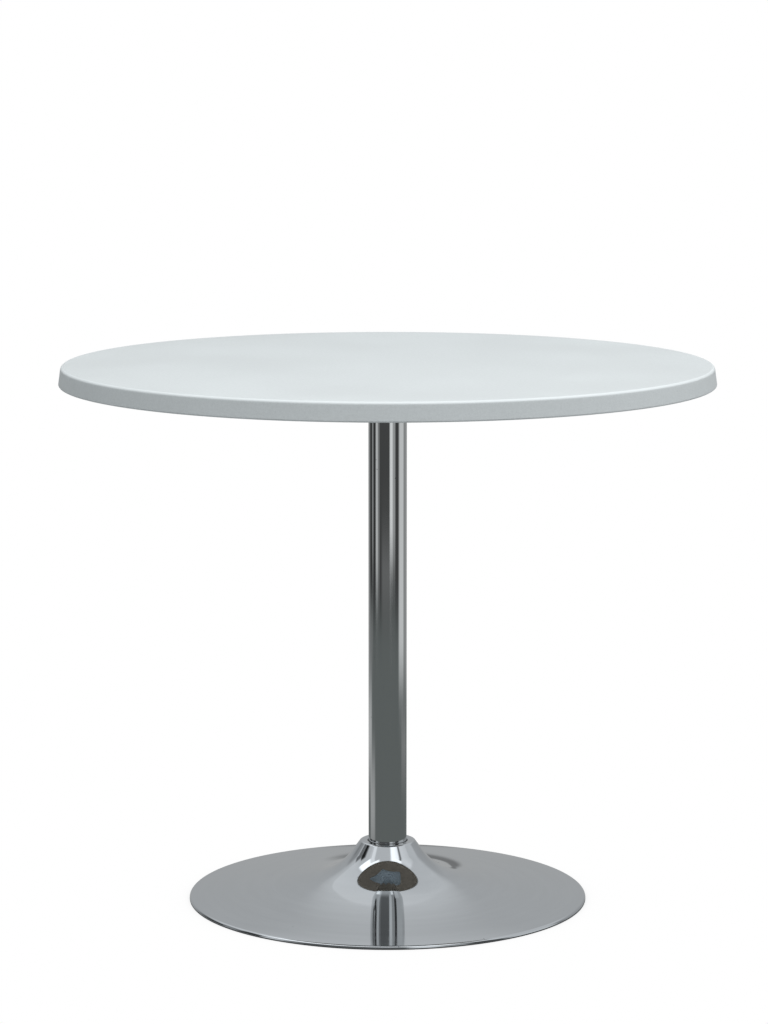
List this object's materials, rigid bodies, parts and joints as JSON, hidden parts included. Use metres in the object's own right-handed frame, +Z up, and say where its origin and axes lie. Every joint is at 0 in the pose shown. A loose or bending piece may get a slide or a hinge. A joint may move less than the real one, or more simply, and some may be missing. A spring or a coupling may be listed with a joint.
{
  "type": "bistro table",
  "caption": "Round cafe table: a thin moulded top with a turned-down edge on a slim chrome column, with a low trumpet-shaped chrome base weighted inside.",
  "frame": {"origin": "on the floor, at the centre of the base, on the axis of the column", "axes": "+Z up along the column; the sides of the square plate under the top lie along X and Y, and -Y is the front; the picture looks from about 20 degrees round from the front, on the -X side"},
  "size_m": [0.8993, 0.8994, 0.75],
  "materials": {
    "decor_skin": "satin with a very fine pebble grain",
    "moulded_board": "matt pressed wood fibre",
    "insert_brass": "turned",
    "plate_paint": "satin powder coat",
    "zinc_steel": "bright zinc plate",
    "spring_steel": "dark oiled spring steel",
    "plain_steel": "bare mill finish",
    "polished_chrome": "mirror polished",
    "grey_iron": "sand cast, primed",
    "black_nylon": "moulded",
    "black_sheet": "fine grain sheet",
    "black_pvc": "soft PVC"
  },
  "bodies": {
    "root": {"top_skin": "decor_skin", "top_core": "moulded_board", "threaded_inserts": "insert_brass", "mounting_plate": "plate_paint", "plate_screws": "zinc_steel", "plate_washers": "zinc_steel", "upper_nut": "zinc_steel", "upper_lock_washer": "spring_steel", "upper_washer": "zinc_steel", "top_plug": "plain_steel", "column_tube": "polished_chrome", "tie_rod": "zinc_steel", "neck_bush": "black_nylon", "column_cup": "plain_steel", "base_shell": "polished_chrome", "ballast": "grey_iron", "lower_washer": "zinc_steel", "lower_lock_washer": "spring_steel", "lower_nut": "zinc_steel", "bottom_cover": "black_sheet", "cover_rivets": "black_nylon", "floor_ring": "black_pvc"}
  },
  "joints": []
}
